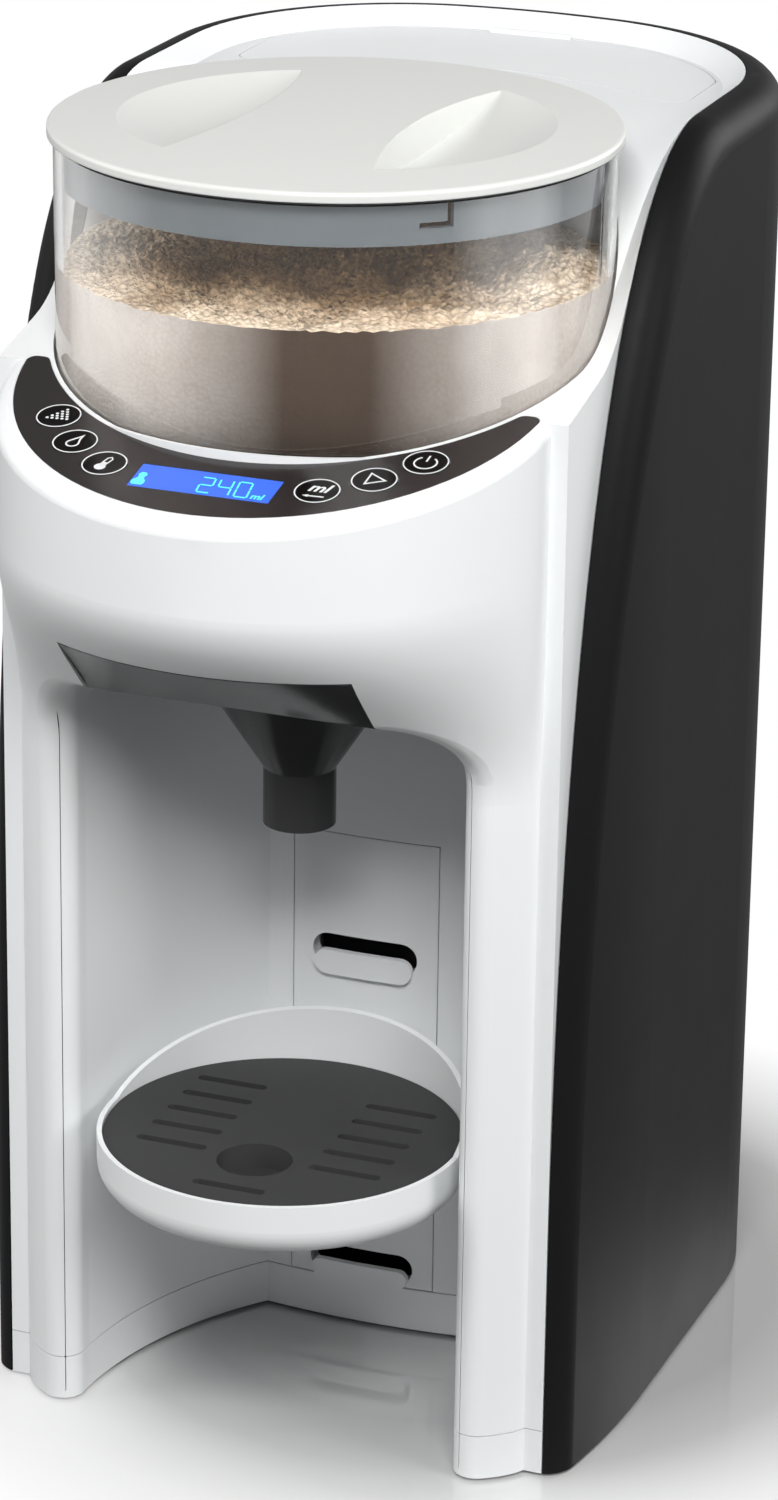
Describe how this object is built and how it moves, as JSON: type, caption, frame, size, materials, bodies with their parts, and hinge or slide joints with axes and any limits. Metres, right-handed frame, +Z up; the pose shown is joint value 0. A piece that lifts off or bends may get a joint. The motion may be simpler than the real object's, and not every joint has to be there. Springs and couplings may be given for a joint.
{
  "type": "baby formula maker",
  "caption": "Countertop baby formula maker with a clear powder hopper, sloping control panel, bottle niche with a height-set tray, slide-out mixing funnel and rear water tank.",
  "frame": {"origin": "centre of the footprint's bounding box, on the counter", "axes": "+X to the machine's right as it faces -Y, +Y towards its back, +Z up"},
  "size_m": [0.1784, 0.277, 0.361],
  "materials": {
    "white": "glossy white moulded ABS",
    "dark_shell": "satin black moulding",
    "dark_base": "black moulding",
    "panel_black": "glossy black panel",
    "display_blue": "back-lit blue display",
    "clear": "clear copolyester",
    "smoke": "smoked translucent plastic",
    "frosted": "frosted plastic",
    "clear_tank": "clear blue-tinted plastic",
    "grille_black": "matte black plastic",
    "rubber": "soft rubber",
    "seal": "silicone seal",
    "gear": "acetal",
    "wheel": "white acetal",
    "steel": "zinc-plated steel",
    "heater": "cast aluminium",
    "silicone": "translucent silicone tube",
    "board": "green circuit board",
    "frame": "grey ABS"
  },
  "bodies": {
    "machine": {"front_housing": "white", "base_plinth": "white", "rear_shell": "dark_shell", "tray_rail_plate": "white", "base_plate": "dark_base", "rubber_feet": "rubber", "inner_chassis": "frame", "cord_gland": "dark_base", "control_panel": "panel_black", "display_window": "display_blue", "display_module": "frame", "control_board": "board", "gear_motor": "steel", "powder_chute": "wheel", "water_pump": "dark_base", "heater_block": "heater", "water_tubes": "silicone", "water_nozzle": "steel", "power_board": "board"},
    "hopper": {"powder_container": "clear", "scraper_plate": "wheel"},
    "lid_seal": {"lid_gasket": "seal"},
    "lid": {"lid_cap": "white", "lid_skirt": "frosted"},
    "dosing": {"dosing_wheel": "wheel", "stirrer": "wheel"},
    "drive": {"drive_gear": "gear"},
    "pinion": {"motor_pinion": "gear"},
    "funnel": {"funnel_drawer": "smoke"},
    "tray": {"tray_cup": "white"},
    "grille": {"tray_grille": "grille_black"},
    "tank": {"water_tank": "clear_tank"},
    "tank_cover": {"tank_lid": "white"},
    "valve": {"tank_valve": "seal"},
    "button_powder": {"button_powder": "panel_black"},
    "button_drop": {"button_drop": "panel_black"},
    "button_temp": {"button_temp": "panel_black"},
    "button_volume": {"button_volume": "panel_black"},
    "button_start": {"button_start": "panel_black"},
    "button_power": {"button_power": "panel_black"}
  },
  "joints": [
    {"name": "hopper_lift", "type": "slide", "parent": "machine", "child": "hopper", "axis": [0, 0, 1], "range_m": [0, 0.09]},
    {"name": "lid_lift", "type": "slide", "parent": "hopper", "child": "lid_seal", "axis": [0, 0, 1], "range_m": [0, 0.06]},
    {"name": "lid_turn", "type": "hinge", "parent": "lid_seal", "child": "lid", "pos_m": [0, -0.0295, 0.356], "axis": [0, 0, 1], "range_deg": [0, 6]},
    {"name": "dosing_spin", "type": "hinge", "parent": "hopper", "child": "dosing", "pos_m": [0, -0.0295, 0.29], "axis": [0, 0, 1], "continuous": true},
    {"name": "drive_spin", "type": "hinge", "parent": "machine", "child": "drive", "pos_m": [0, -0.0295, 0.266], "axis": [0, 0, 1], "continuous": true},
    {"name": "pinion_spin", "type": "hinge", "parent": "machine", "child": "pinion", "pos_m": [0, 0.0025, 0.266], "axis": [0, 0, 1], "continuous": true},
    {"name": "funnel_slide", "type": "slide", "parent": "machine", "child": "funnel", "axis": [0, -1, 0], "range_m": [0, 0.1]},
    {"name": "tray_slide", "type": "slide", "parent": "machine", "child": "tray", "axis": [0, -1, 0], "range_m": [0, 0.1]},
    {"name": "grille_lift", "type": "slide", "parent": "tray", "child": "grille", "axis": [0, 0, 1], "range_m": [0, 0.04]},
    {"name": "tank_lift", "type": "slide", "parent": "machine", "child": "tank", "axis": [0, 0, 1], "range_m": [0, 0.3]},
    {"name": "tank_lid_hinge", "type": "hinge", "parent": "tank", "child": "tank_cover", "pos_m": [0, 0.1205, 0.351], "axis": [-1, 0, 0], "range_deg": [0, 100]},
    {"name": "valve_lift", "type": "slide", "parent": "tank", "child": "valve", "axis": [0, 0, 1], "range_m": [0, 0.002], "stiffness_N_per_m": 40},
    {"name": "press_powder", "type": "slide", "parent": "machine", "child": "button_powder", "axis": [0, 0.225, -0.9744], "range_m": [0, 0.0008], "stiffness_N_per_m": 900},
    {"name": "press_drop", "type": "slide", "parent": "machine", "child": "button_drop", "axis": [0, 0.225, -0.9744], "range_m": [0, 0.0008], "stiffness_N_per_m": 900},
    {"name": "press_temp", "type": "slide", "parent": "machine", "child": "button_temp", "axis": [0, 0.225, -0.9744], "range_m": [0, 0.0008], "stiffness_N_per_m": 900},
    {"name": "press_volume", "type": "slide", "parent": "machine", "child": "button_volume", "axis": [0, 0.225, -0.9744], "range_m": [0, 0.0008], "stiffness_N_per_m": 900},
    {"name": "press_start", "type": "slide", "parent": "machine", "child": "button_start", "axis": [0, 0.225, -0.9744], "range_m": [0, 0.0008], "stiffness_N_per_m": 900},
    {"name": "press_power", "type": "slide", "parent": "machine", "child": "button_power", "axis": [0, 0.225, -0.9744], "range_m": [0, 0.0008], "stiffness_N_per_m": 900}
  ],
  "couplings": [
    {"joint": "drive_spin", "follows": "dosing_spin", "ratio": 1},
    {"joint": "pinion_spin", "follows": "dosing_spin", "ratio": -3}
  ]
}
